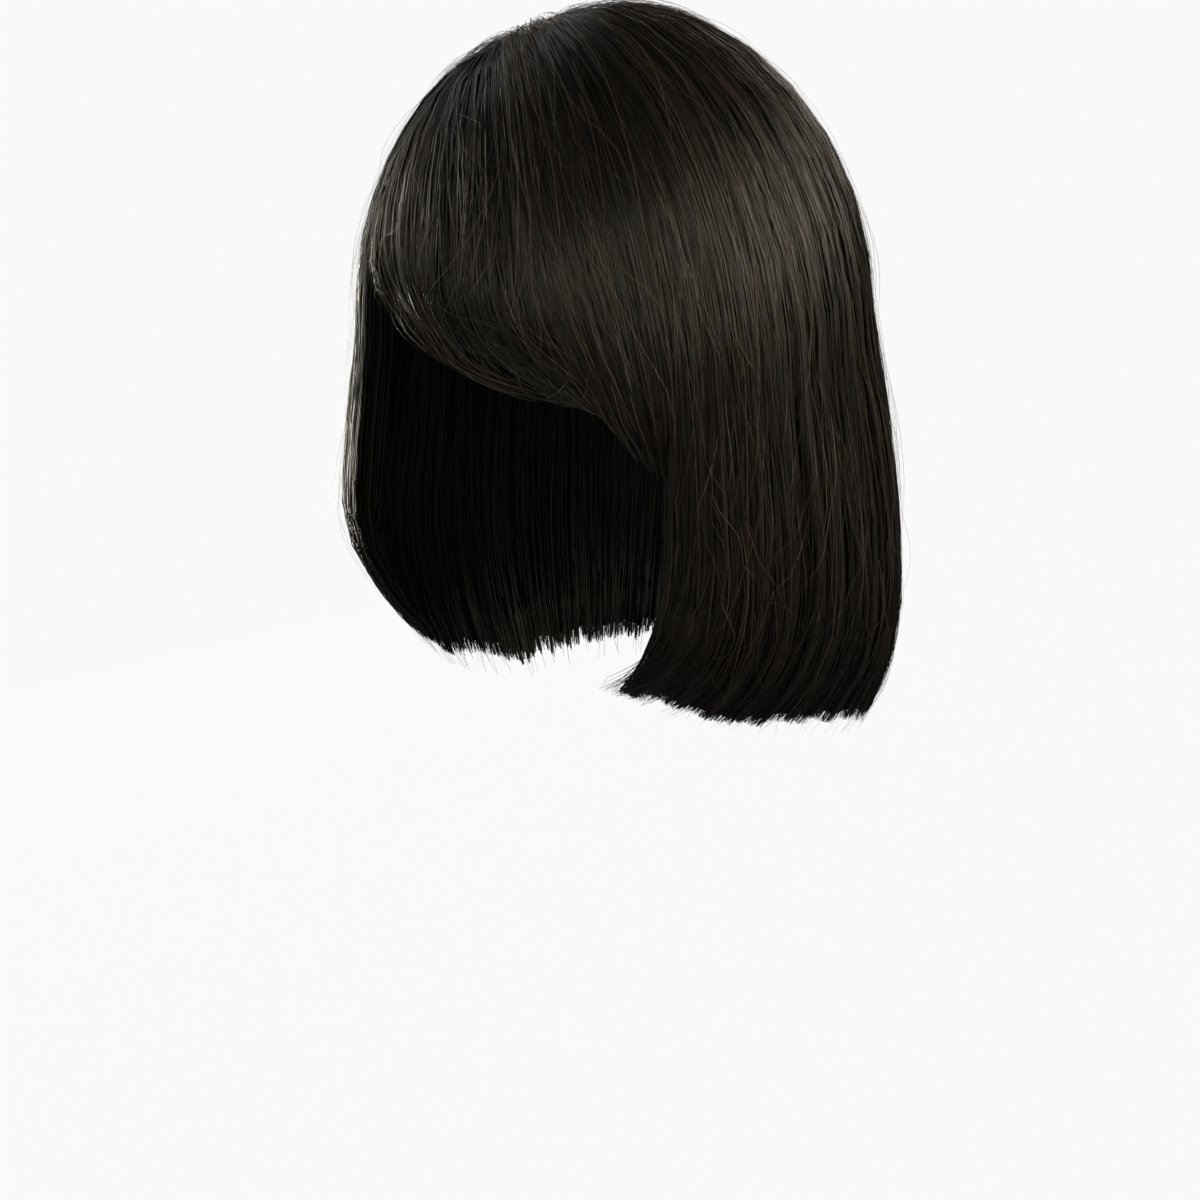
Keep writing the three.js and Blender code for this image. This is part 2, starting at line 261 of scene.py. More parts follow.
def part_distance(point):
    half = np.linalg.norm(PART_HALF)
    along = np.clip((point - PART_MIDDLE) @ PART_ALONG, -half, half)
    return np.linalg.norm(point - PART_MIDDLE - along[..., None] * PART_ALONG, axis=-1) * MAP_SCALE


def hair_wall(point, thickness, relief):
    """The outer and the inner point of the hair over places on the map."""
    reach = np.linalg.norm(point, axis=-1)
    turn = wrap_turn(np.degrees(np.arctan2(point[..., 0], -point[..., 1])))
    dip = PART_DIP * np.exp(-((part_distance(point) / PART_DIP_REACH) ** 2))
    radius, height, lean = hair_shape(turn, reach)
    seat_radius, seat_height = head_shape(turn, reach, CAP_WALL + SEAT_GAP)
    level = np.minimum(reach, 1) ** 2
    raised = relief - dip
    height = height + raised * (1 - level)
    radius = radius + raised * level
    freed = smoothstep(reach, FREE_FROM, FREE_BY)
    hanging = radius + lean * np.sin(np.radians(turn)) - thickness
    seat_radius = mix(seat_radius, np.maximum(seat_radius, hanging), freed)
    return place(turn, radius, height, lean), place(turn, seat_radius, seat_height, 0 * lean)


def hanging_route(turn_from, turn_to):
    """A section whose locks hang straight down from the parting, between two turns."""
    def route(share, along):
        turn = mix(turn_from, turn_to, share)
        reach = 2 * along
        swing = read_table(SKIRT, "turn", wrap_turn(turn), "swing")
        swing = swing * curled_share(reach - 1, SWING_FROM)
        return strand_on_map(turn, turn + swing, reach)
    return route


def fringe_route(share, along):
    """The fringe: each guide lock is a cubic curve from its root past its drop and sweep to its tip."""
    left = 1 - along
    weights = (left ** 3, 3 * left * left * along, 3 * left * along * along, along ** 3)
    column = {name: read_table(FRINGE, "share", share, name) for name in FRINGE if name != "share"}
    turn = ((weights[0] + weights[1]) * column["root"] + weights[2] * column["sweep"]
            + weights[3] * column["tip"])
    reach = weights[1] * column["drop"] + weights[2] * column["reach"] + weights[3] * column["end"]
    return strand_on_map(column["root"], turn, reach)


def count_locks(turn_from, turn_to):
    middle = wrap_turn((turn_from + turn_to) / 2)
    radius = hair_shape(middle, np.array(1.0))[0]
    return max(round(math.radians(turn_to - turn_from) * float(radius) / LOCK_WIDTH), FEWEST_LOCKS)


def lock_relief(share, along, locks):
    """Height of the locks' ridges and grooves, the same ones as on the model's solids."""
    columns = locks * 2
    column = np.arange(columns + 1)
    height = np.where(column % 2 == 1, 0.5 + uneven(column + 7), -0.5)
    height[[0, -1]] = 0
    grown = smoothstep(along, 0, RIDGE_FULL)
    return LOCK_RELIEF * grown * np.interp(share * columns, column, height)


CLUMPS_IN_LOCK = 3
# How unevenly the clumps divide a lock: the size of each wave in clumps, and its rate
CLUMP_WAVES = ((0.5, 1.3), (0.35, 2.9))
# How deep the cut is at an uneven clump, beside a clump's point and in broad waves, as shares of the
# tips' stagger, and the rates of those waves across a section
CUT_UNEVEN = 0.6
CUT_POINTED = 0.3
CUT_BROAD = 0.3
CUT_WAVES = (19, 47)


def clump_place(share, section):
    """Counts clumps across a section: the whole part is the clump's number. Clumps differ in width."""
    place = share * section["locks"] * CLUMPS_IN_LOCK
    (broad, broad_rate), (fine, fine_rate) = CLUMP_WAVES
    return place + broad * np.sin(place * broad_rate + section["seed"]) + fine * np.sin(place * fine_rate)


def cut_line(share, section):
    """Where the hair is cut, as a share of its guide: nearly level, in small pointed clumps."""
    place = clump_place(share, section)
    clump = np.floor(place)
    from_middle = np.abs(place - clump - 0.5) * 2
    broad = sum(np.sin(share * rate + section["seed"]) * 0.5 for rate in CUT_WAVES)
    depth = CUT_UNEVEN * uneven(clump + 5) + CUT_POINTED * from_middle ** 1.5 + CUT_BROAD * broad
    return 1 - section["tip_share"] * depth


# How far the fringe's outside turns in at its lower edge, how deep it then lies at most, and from how
# far above the edge it turns, on the map
FRINGE_TUCK = 12
TUCK_MOST = 6.5
TUCK_REACH = 0.20
# Over how many degrees the tuck grows from the fringe's end on the right, and the share of a strand's
# depth that is left where it is strongest
TUCK_GROWS = 14
LEAST_DEPTH_LEFT = 0.3


def fringe_tuck(section, point):
    """How deep and how steeply the fringe's outside turns in over its lower edge, to the forehead."""
    if section["name"] != "fringe":
        return np.zeros(point.shape[:-1]), np.zeros(point.shape[:-1])
    turn = wrap_turn(np.degrees(np.arctan2(point[..., 0], -point[..., 1])))
    first = {name: FRINGE[name][0] for name in FRINGE}
    sloping = np.interp(turn, (first["sweep"], first["tip"]), (first["reach"], first["end"]))
    edge = np.where(turn < first["tip"], sloping, np.interp(turn, FRINGE["tip"], FRINGE["end"]))
    near = np.clip(1 - (edge - np.linalg.norm(point, axis=-1)) / TUCK_REACH, 0, 1)
    near = near * smoothstep(turn, FACE_RIGHT, FACE_RIGHT + TUCK_GROWS)
    depth = np.minimum(FRINGE_TUCK * near ** 2, TUCK_MOST)
    return depth, 2 * FRINGE_TUCK * near / (TUCK_REACH * MAP_SCALE)


def wall_thickness(along):
    return mix(HAIR_THICKNESS, TIP_THICKNESS, smoothstep(along, THIN_FROM, 1))


# Where hairs stand up along the parting, as shares across a section. Elsewhere it is all across.
ROOT_SHARES = {"fringe": (0.45, 1.0), "right_side_hair": (0.0, 0.75)}


# Each section: its route, its turns, the length of its guide locks, the shares across it where its
# mass starts and ends, its free edges, and how many strands it gets, of how many steps each
def make_section(name, seed, route, turns, guide_length, mass, free_edges, strands, steps):
    return {
        "name": name, "seed": seed, "route": route, "locks": count_locks(*turns),
        "tip_share": TIP_STAGGER / guide_length, "mass": mass, "free_edges": free_edges,
        "strands": strands, "steps": steps,
        "across": math.radians(turns[1] - turns[0]) * HAIR_HALF_WIDTH,
        "root_shares": ROOT_SHARES.get(name, (0.0, 1.0)),
    }


SECTIONS = (
    make_section("fringe", 11, fringe_route, (FACE_RIGHT, FACE_LEFT), WIDEST_DROP + HAIR_LIFT,
                 (0.02, 0.996), (0,), 3500, 14),
    make_section("left_side_hair", 12, hanging_route(FACE_LEFT, 135), (FACE_LEFT, 135), HEM_DROP,
                 (0.02, 1.003), (0,), 3000, 16),
    make_section("back_hair", 13, hanging_route(135, 225), (135, 225), HEM_DROP,
                 (-0.003, 1.003), (), 2900, 16),
    make_section("right_side_hair", 14, hanging_route(-135, FACE_RIGHT), (-135, FACE_RIGHT), HEM_DROP,
                 (-0.003, 0.98), (1,), 2900, 16),
)


def add_node(tree, kind, values=None, links=None, **settings):
    """A node with its settings, its sockets' values and the sockets that feed it."""
    node = tree.nodes.new(kind)
    for name, value in settings.items():
        setattr(node, name, value)
    for name, value in (values or {}).items():
        node.inputs[name].default_value = value
    for name, socket in (links or {}).items():
        tree.links.new(socket, node.inputs[name])
    return node


def colour(hex_value):
    """A linear colour from an sRGB hex value."""
    channels = [int(hex_value[i:i + 2], 16) / 255 for i in (1, 3, 5)]
    linear = [c / 12.92 if c <= 0.04045 else ((c + 0.055) / 1.055) ** 2.4 for c in channels]
    return (*linear, 1.0)


def new_material(name):
    material = bpy.data.materials.new(name)
    material.use_nodes = True
    material.node_tree.nodes.clear()
    return material


# The share of the strands up to each tone: most are nearly black, and a few are lighter brown.
# Loose hairs get a lighter copy of the same hair's tones. This is painted light, standing in for a loose
# hair with light all round it.
HAIR_TONES = ((0.0, "#080706"), (0.55, "#110e0b"), (0.86, "#241d16"), (1.0, "#43372a"))
PAINTED_LIGHT_LOOSE_TONES = ((0.0, "#1a1511"), (0.6, "#3a3026"), (1.0, "#6e5c48"))


def hair_fibre_material(name, tones):
    """Straight processed human hair: a smooth cuticle, so each strand is a thin glossy cylinder."""
    material = new_material(name)
    tree = material.node_tree
    uv = add_node(tree, "ShaderNodeUVMap", uv_map="OFBake")
    split = add_node(tree, "ShaderNodeSeparateXYZ", links={"Vector": uv.outputs["UV"]})
    # Each strand has its own tone
    tone = add_node(tree, "ShaderNodeTexWhiteNoise", noise_dimensions="1D", links={"W": split.outputs["Y"]})
    ramp = add_node(tree, "ShaderNodeValToRGB", links={"Fac": tone.outputs["Value"]})
    ramp.color_ramp.elements[0].color = colour(tones[0][1])
    ramp.color_ramp.elements[1].color = colour(tones[-1][1])
    for position, shade in tones[1:-1]:
        ramp.color_ramp.elements.new(position).color = colour(shade)
    # Some strands are smoother than others, which breaks the sheen into fine lines
    channels = add_node(tree, "ShaderNodeSeparateColor", links={"Color": tone.outputs["Color"]})
    polish = add_node(
        tree, "ShaderNodeMapRange", values={"To Min": 0.24, "To Max": 0.44},
        links={"Value": channels.outputs["Green"]})
    shader = add_node(
        tree, "ShaderNodeBsdfPrincipled",
        values={"IOR": 1.55, "Specular IOR Level": 0.5, "Specular Tint": colour("#fff4e2")},
        links={"Base Color": ramp.outputs["Color"], "Roughness": polish.outputs["Result"]})
    add_node(tree, "ShaderNodeOutputMaterial", links={"Surface": shader.outputs["BSDF"]})
    return material


# Streaks across a section's mass, about one every millimetre
MASS_STREAKS = 150.0


def hair_mass_painted_shade_material():
    """The mass of hair under the strands: the same dark brown hair with painted shade, darker than the
    strands as if in each other's shadow, and with no sheen.
    """
    material = new_material("hair_mass_painted_shade")
    tree = material.node_tree
    uv = add_node(tree, "ShaderNodeUVMap", uv_map="OFBake")
    scaled = add_node(
        tree, "ShaderNodeVectorMath", operation="MULTIPLY", links={0: uv.outputs["UV"]},
        values={1: (6.0, MASS_STREAKS, 0.0)})
    streak = add_node(tree, "ShaderNodeTexNoise", values={"Scale": 1.0, "Detail": 2.0},
                      links={"Vector": scaled.outputs["Vector"]})
    ramp = add_node(tree, "ShaderNodeValToRGB", links={"Fac": streak.outputs["Fac"]})
    # Painted shade: these tones are darker than the strands' own, for hair lying in shadow
    ramp.color_ramp.elements[0].position = 0.35
    ramp.color_ramp.elements[0].color = colour("#050403")
    ramp.color_ramp.elements[1].position = 0.75
    ramp.color_ramp.elements[1].color = colour("#15110d")
    shader = add_node(
        tree, "ShaderNodeBsdfPrincipled", values={"Roughness": 0.6, "Specular IOR Level": 0.12},
        links={"Base Color": ramp.outputs["Color"]})
    add_node(tree, "ShaderNodeOutputMaterial", links={"Surface": shader.outputs["BSDF"]})
    return material


# The net's openings, about 2.5 mm across
NET_MESH = 2.5


def net_material():
    """Nylon stretch net: matt black threads in a fine mesh that rises a little over its gaps."""
    material = new_material("black_stretch_net")
    tree = material.node_tree
    place = add_node(tree, "ShaderNodeTexCoord")
    cells = add_node(
        tree, "ShaderNodeTexVoronoi", feature="DISTANCE_TO_EDGE",
        values={"Scale": 1 / (NET_MESH * METRES), "Randomness": 1.0},
        links={"Vector": place.outputs["Object"]})
    thread = add_node(
        tree, "ShaderNodeMapRange", interpolation_type="SMOOTHSTEP",
        values={"From Min": 0.04, "From Max": 0.16, "To Min": 1.0, "To Max": 0.0},
        links={"Value": cells.outputs["Distance"]})
    shade = add_node(tree, "ShaderNodeValToRGB", links={"Fac": thread.outputs["Result"]})
    shade.color_ramp.elements[0].color = colour("#171412")
    shade.color_ramp.elements[1].color = colour("#544d48")
    bump = add_node(
        tree, "ShaderNodeBump", values={"Strength": 0.6, "Distance": 0.3 * METRES},
        links={"Height": thread.outputs["Result"]})
    shader = add_node(
        tree, "ShaderNodeBsdfPrincipled", values={"Roughness": 0.7, "Specular IOR Level": 0.3},
        links={"Base Color": shade.outputs["Color"], "Normal": bump.outputs["Normal"]})
    add_node(tree, "ShaderNodeOutputMaterial", links={"Surface": shader.outputs["BSDF"]})
    return material


CAP_COLUMNS = 96
CAP_ROWS = 30
# How far down the head the cap reaches: 0 is the crown, 1 the widest level, 2 the hem
CAP_EDGE = go_round(make_table("turn reach", [
    (-110, 1.05), (-70, 0.86), (0, 0.60), (70, 0.86), (110, 1.05), (180, 1.26),
]))


def net_cap(material):
    """The cap: a thin stretch-net dome with a smooth edge over the forehead and down to the nape."""
    turns = wrap_turn(np.arange(CAP_COLUMNS) * 360 / CAP_COLUMNS)
    rows = np.arange(1, CAP_ROWS + 1) / CAP_ROWS
    turn, row = np.meshgrid(turns, rows, indexing="ij")
    reach = row * read_table(CAP_EDGE, "turn", turn, "reach")
    points = []
    for distance in (CAP_WALL, 0.0):
        radius, height = head_shape(turn, reach, distance)
        wall = place(turn, radius, height, np.zeros_like(turn))
        points.append(np.concatenate([[[0.0, 0.0, distance]], wall.reshape(-1, 3)]))
    count = len(points[0])
    grid = np.arange(CAP_COLUMNS * CAP_ROWS).reshape(CAP_COLUMNS, CAP_ROWS) + 1
    after = np.roll(grid, -1, axis=0)
    quads = np.stack([grid[:, :-1], grid[:, 1:], after[:, 1:], after[:, :-1]], -1).reshape(-1, 4)
    rim = np.stack([grid[:, -1], grid[:, -1] + count, after[:, -1] + count, after[:, -1]], -1)
    crown = np.stack([np.zeros(CAP_COLUMNS, int), grid[:, 0], after[:, 0]], -1)
    faces = quads.tolist() + (quads[:, ::-1] + count).tolist() + rim.tolist()
    faces += crown.tolist() + (crown[:, ::-1] + count).tolist()
    mesh = bpy.data.meshes.new("stretch_net_cap")
    mesh.from_pydata((np.concatenate(points) * METRES).tolist(), [], faces)
    mesh.polygons.foreach_set("use_smooth", np.ones(len(mesh.polygons), bool))
    mesh.update()
    return make_object("stretch_net_cap", mesh, material, "cap")


def make_object(name, mesh, material, node):
    piece = bpy.data.objects.new(name, mesh)
    bpy.context.scene.collection.objects.link(piece)
    mesh.materials.clear()
    mesh.materials.append(material)
    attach(piece, "root")
    if node:
        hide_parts(node)
    return piece


UNDER_COLUMNS = 8
UNDER_ROWS = 40
UNDER_DEPTH = 2.2
UNDER_END = 0.989
# How much closer a mass's rows lie near the roots
UNDER_CROWDING = 1.25
# How much a mass's outside and inside sink into the wall at most, as shares of its thickness, and how
# far from a free edge it thins, as a share across the section
UNDER_SINK = 0.3
EDGE_THINNING = 0.35
EDGE_REACH = 0.09


def under_layer(section, material):
    """The dense mass of hair under the strands: a closed wall a little inside the section's form."""
    columns = section["locks"] * UNDER_COLUMNS
    share, step = np.meshgrid(
        np.linspace(*section["mass"], columns + 1), np.linspace(0, 1, UNDER_ROWS + 1), indexing="ij")
    along = step ** UNDER_CROWDING * UNDER_END
    point = section["route"](share, along * cut_line(share, section))
    relief = lock_relief(share, along, section["locks"])
    outer, inner = hair_wall(point, wall_thickness(along), relief)
    inward = inner - outer
    thick = np.linalg.norm(inward, axis=-1, keepdims=True)
    sink = np.minimum(UNDER_DEPTH, UNDER_SINK * thick)
    # The wall thins to nothing much at a free edge, where loose strands take over
    from_edge = np.min([np.abs(share - edge) for edge in section["free_edges"] or (9,)], axis=0)
    edge_thin = EDGE_THINNING * thick * (1 - smoothstep(from_edge[..., None], 0, EDGE_REACH))
    tuck = fringe_tuck(section, point)[0][..., None]
    left_over = np.maximum(1 - tuck / thick, LEAST_DEPTH_LEFT)
    pushed = tuck + (left_over - 1) * thick
    outer_face = outer + inward / thick * (tuck + (sink + 0.6 * edge_thin) * left_over)
    inner_face = inner + inward / thick * (pushed - (sink * 0.6 + edge_thin) * left_over)
    count = (columns + 1) * (UNDER_ROWS + 1)
    grid = np.arange(count).reshape(columns + 1, UNDER_ROWS + 1)
    low = grid[:-1, :-1].ravel()
    right = grid[1:, :-1].ravel()
    corner = grid[1:, 1:].ravel()
    up = grid[:-1, 1:].ravel()
    faces = [np.stack([low, up, corner, right], 1), np.stack([low, right, corner, up], 1) + count]
    for line, turned in ((grid[0], False), (grid[-1], True), (grid[:, 0], True), (grid[:, -1], False)):
        a, b = (line[1:], line[:-1]) if turned else (line[:-1], line[1:])
        faces.append(np.stack([a, a + count, b + count, b], 1))
    mesh = bpy.data.meshes.new(section["name"] + "_under")
    points = np.concatenate([outer_face.reshape(-1, 3), inner_face.reshape(-1, 3)]) * METRES
    quads = np.concatenate(faces)
    mesh.from_pydata(points.tolist(), [], quads.tolist())
    uv_layer = mesh.uv_layers.new(name="OFBake")
    place_on_map = np.stack([along.ravel(), share.ravel()], 1)
    place_on_map = np.concatenate([place_on_map, place_on_map])
    corner_points = np.empty(len(mesh.loops), np.int32)
    mesh.loops.foreach_get("vertex_index", corner_points)
    uv_layer.data.foreach_set("uv", place_on_map[corner_points].astype(np.float32).ravel())
    mesh.polygons.foreach_set("use_smooth", np.ones(len(mesh.polygons), bool))
    mesh.update()
    return make_object(section["name"] + "_under_layer", mesh, material, section["name"])


STRAND_WIDTH = 0.46
# How far a strand's middle stands up over its edges, as a share of its width
STRAND_RIDGE = 0.33
TONES = 256
WISPS_IN_LOCK = 9

# Each strand draws a number from 0 to 1. The lowest cross over the others. Higher up, some fill a free
# edge, some run through the middle of the section, and the highest lie on its inside.
CROSSING_BELOW = 0.13
FILLING_FROM = 0.66
THROUGH_FROM = 0.74
INSIDE_FROM = 0.86
FILLING_SPREAD = 0.012

# The share of strands that start under the parting, and where a strand can start along its guide
LATE_STARTS = 0.3
LATE_START, LATE_START_SPREAD = 0.1, 0.35
INSIDE_START, INSIDE_START_SPREAD = 0.26, 0.15
STEP_CROWDING = 1.15

# How strands gather into clumps as they fall and at their tips, and how they wander, in millimetres
GATHER_FALLING = 0.22
GATHER_TIPS = 0.4
WANDER = 1.4
FREE_WANDER = 5.0
# The waves in a strand: how many millimetres to each side, and how many radians along the guide
STRAND_WAVES = ((0.5, 8), (0.22, 21))

# How deep strands lie, in millimetres: each by itself, with its wisp, in its own wave, and crossing
STRAND_DEPTH = 1.9
WISP_DEPTH = 1.1
DEPTH_WAVE = 0.4
CROSSING_HEIGHT = 0.4
STANDS_PROUD = 0.8

# How far a strand rolls about its own line, in degrees, and where its end starts to narrow
STRAND_ROLL = 24
NARROW_FROM = 0.93


def strand_kinds(draw, section):
    """Where across the section each strand lies, and which cross, run through it or lie inside."""
    count = section["strands"]
    share = (np.arange(count) + draw.random(count)) / count
    share = share[draw.permutation(count)]
    kind = draw.random(count)
    inside = kind > INSIDE_FROM
    through = (kind > THROUGH_FROM) & ~inside
    for edge in section["free_edges"]:
        filling = (kind > FILLING_FROM) & (kind <= THROUGH_FROM)
        share = np.where(filling, np.abs(edge - np.abs(draw.normal(0, FILLING_SPREAD, count))), share)
        through = through | filling
    return share, kind < CROSSING_BELOW, through, inside


def strand_steps(draw, section, inside):
    """How far along its guide each point of a strand is, and where each strand starts."""
    count = section["strands"]
    late = draw.random(count) < LATE_STARTS
    start = np.where(late, LATE_START + LATE_START_SPREAD * draw.random(count), 0.0)
    start = np.where(inside, INSIDE_START + INSIDE_START_SPREAD * draw.random(count), start)
    # Most strands reach the cut, some are shorter, and a few stick out past it
    cut = 1 - section["tip_share"] * (draw.gamma(1.1, 0.45, count) - 0.3)
    step = np.linspace(0, 1, section["steps"] + 1)
    return start[:, None] + (cut - start)[:, None] * step[None, :] ** STEP_CROWDING, start


def strand_shares(draw, section, share0, along, start, roams):
    """Where across the section each point is: strands gather into clumps, and wander a little."""
    count = section["strands"]
    clump = np.floor(clump_place(share0, section))
    number = (clump - clump.min()).astype(int)
    clump_middle = (np.bincount(number, share0) / np.maximum(np.bincount(number), 1))[number]
    gather = GATHER_FALLING * smoothstep(along, 0.15, 1.0) + GATHER_TIPS * smoothstep(along, 0.9, 1.0)
    gather = gather * (0.4 + 0.6 * uneven(clump + 19))[:, None]
    share = mix(share0[:, None], clump_middle[:, None], gather)
    wander = draw.normal(0, 1, count) * np.where(roams, FREE_WANDER, WANDER) / section["across"]
    share = share + wander[:, None] * (along - start[:, None]) * 2
    phase = draw.random((2, count, 1)) * 2 * math.pi
    (broad, broad_rate), (fine, fine_rate) = STRAND_WAVES
    wave = broad * np.sin(along * broad_rate + phase[0]) + fine * np.sin(along * fine_rate + phase[1])
    return np.clip(share + wave / section["across"], -0.006, 1.006), phase[1]


def strand_depths(draw, wisp, along, thick, phase, crossing, through, inside):
    """How deep in the wall each point lies, in millimetres from the outside."""
    count = len(wisp)
    depth = STRAND_DEPTH * draw.random(count) ** 1.3 + WISP_DEPTH * uneven(wisp + 43)
    depth = np.where(crossing, -CROSSING_HEIGHT + 0.5 * draw.random(count), depth)
    depth = depth[:, None] + DEPTH_WAVE * np.sin(along * 11 + phase)
    depth = np.where(through[:, None], draw.random(count)[:, None] * (thick - 1.5) + 0.5, depth)
    depth = np.where(inside[:, None], thick - 0.3 - 1.6 * draw.random(count)[:, None] ** 1.5, depth)
    return np.clip(depth, -STANDS_PROUD, thick)


def square_off(outward, forward):
    """Outward directions turned square to the strand's own way."""
    return unit(outward - forward * np.sum(outward * forward, axis=-1, keepdims=True))


def lay_strands(section):
    """The strands of one section: their points, outward directions, widths, shares of length and tones."""
    draw = np.random.default_rng(section["seed"])
    count = section["strands"]
    share0, crossing, through, inside = strand_kinds(draw, section)
    along, start = strand_steps(draw, section, inside)
    share, phase = strand_shares(draw, section, share0, along, start, crossing | inside)
    point = section["route"](share, along * cut_line(share, section))
    relief = lock_relief(np.clip(share, 0, 1), along, section["locks"])
    outer, inner = hair_wall(point, wall_thickness(along), relief)
    inward = inner - outer
    thick = np.linalg.norm(inward, axis=-1)
    inward = inward / thick[..., None]
    # Fine wisps of a few strands lie higher or lower together, and share a tone
    wisp = np.floor(share0 * section["locks"] * WISPS_IN_LOCK)
    depth = strand_depths(draw, wisp, along, thick, phase, crossing, through, inside)
    tuck, slope = fringe_tuck(section, point)
    depth = tuck + depth * np.maximum(1 - tuck / thick, LEAST_DEPTH_LEFT)
    place_now = outer + inward * depth[..., None]
    forward = unit(np.gradient(place_now, axis=1))
    outward = -inward * np.where(inside, -1.0, 1.0)[:, None, None]
    outward = outward - slope[..., None] * np.where(inside, 0, 1)[:, None, None] * np.array([0, 0, 1])
    outward = square_off(outward, forward)
    sideways = np.cross(forward, outward)
    roll = np.radians(draw.normal(0, STRAND_ROLL, count))[:, None, None]
    outward = outward * np.cos(roll) + sideways * np.sin(roll)
    step = np.linspace(0, 1, section["steps"] + 1)
    width = STRAND_WIDTH * (0.75 + 0.5 * draw.random(count))[:, None]
    width = width * (1 - 0.5 * smoothstep(step, NARROW_FROM, 1))[None, :]
    tone = np.where(draw.random(count) < 0.5, uneven(wisp + 31), draw.random(count))
    return strand_lines(place_now, outward, width, along, tone)


def strand_lines(place_now, outward, width, along, tone):
    """What the ribbon tree reads at each point. A tone is rounded, so that it is the same all along."""
    tone = (np.floor(tone * TONES) + 0.5) / TONES
    return {
        "place": place_now, "outward": outward, "width": width,
        "along": along, "tone": np.repeat(tone[:, None], along.shape[1], axis=1),
    }


LOOSE_WIDTH = 0.26
LOOSE_STEPS = 10


def loose_hairs(section, count, lift, seed, starts, lengths, shares=(0.0, 1.0), drift=14.0, past=0.0):
    """Single hairs that have come away from a section: short stretches that bow off its surface."""
    draw = np.random.default_rng(seed)
    step = np.linspace(0, 1, LOOSE_STEPS + 1)
    length = mix(*lengths, draw.random(count) ** 1.5)
    start = mix(starts[0], starts[1] - length, draw.random(count))
    along = start[:, None] + length[:, None] * step
    share = mix(*shares, draw.random(count))[:, None]
    share = share + draw.normal(0, drift, count)[:, None] / section["across"] * step ** 1.5
    waver = draw.normal(0, 1.5, count)[:, None] / section["across"]
    share = share + waver * np.sin(step * 4 + share * 60)
    share = share - past * draw.random(count)[:, None] * step ** 2
    share = np.clip(share, -past, 1.0)
    point = section["route"](share, along)
    relief = lock_relief(np.clip(share, 0, 1), along, section["locks"])
    outer, inner = hair_wall(point, wall_thickness(along), relief)
    outward = unit(outer - inner)
    bow = np.sin(step * 2.6) ** 1.2
    height = lift * draw.random(count)[:, None] ** 1.7 * bow + 0.3 - fringe_tuck(section, point)[0]
    place_now = outer + outward * height[..., None]
    outward = square_off(outward, unit(np.gradient(place_now, axis=1)))
    width = LOOSE_WIDTH * (0.8 + 0.4 * draw.random(count))[:, None]
    width = width * (1 - 0.6 * smoothstep(step, 0.6, 1))[None, :]
    return strand_lines(place_now, outward, width, along, draw.random(count))


def join_strands(groups):
    return {key: np.concatenate([group[key] for group in groups]) for key in groups[0]}


def stray_hairs(section):
    """The hairs that have come away all over, and those that stand up at the roots."""
    seed = section["seed"]
    all_over = loose_hairs(section, 220, 4.0, seed + 50, (0.05, 0.97), (0.1, 0.4))
    at_roots = loose_hairs(
        section, 170, 3.2, seed + 60, (0.0, 0.17), (0.06, 0.16), section["root_shares"], drift=4.0)
    return join_strands((all_over, at_roots))


def tip_wisps(section):
    """Wisps that stray past the cut, and on the left side those that sweep forward from its corner."""
    seed = section["seed"]
    groups = [loose_hairs(section, 90, 2.0, seed + 70, (0.86, 1.02), (0.1, 0.16), drift=8.0)]
    if section["name"] == "left_side_hair":
        groups.append(loose_hairs(section, 160, 1.5, seed + 80, (0.78, 1.01), (0.16, 0.22),
                                  shares=(0.0, 0.10), drift=3.0, past=0.07))
    return join_strands(groups)


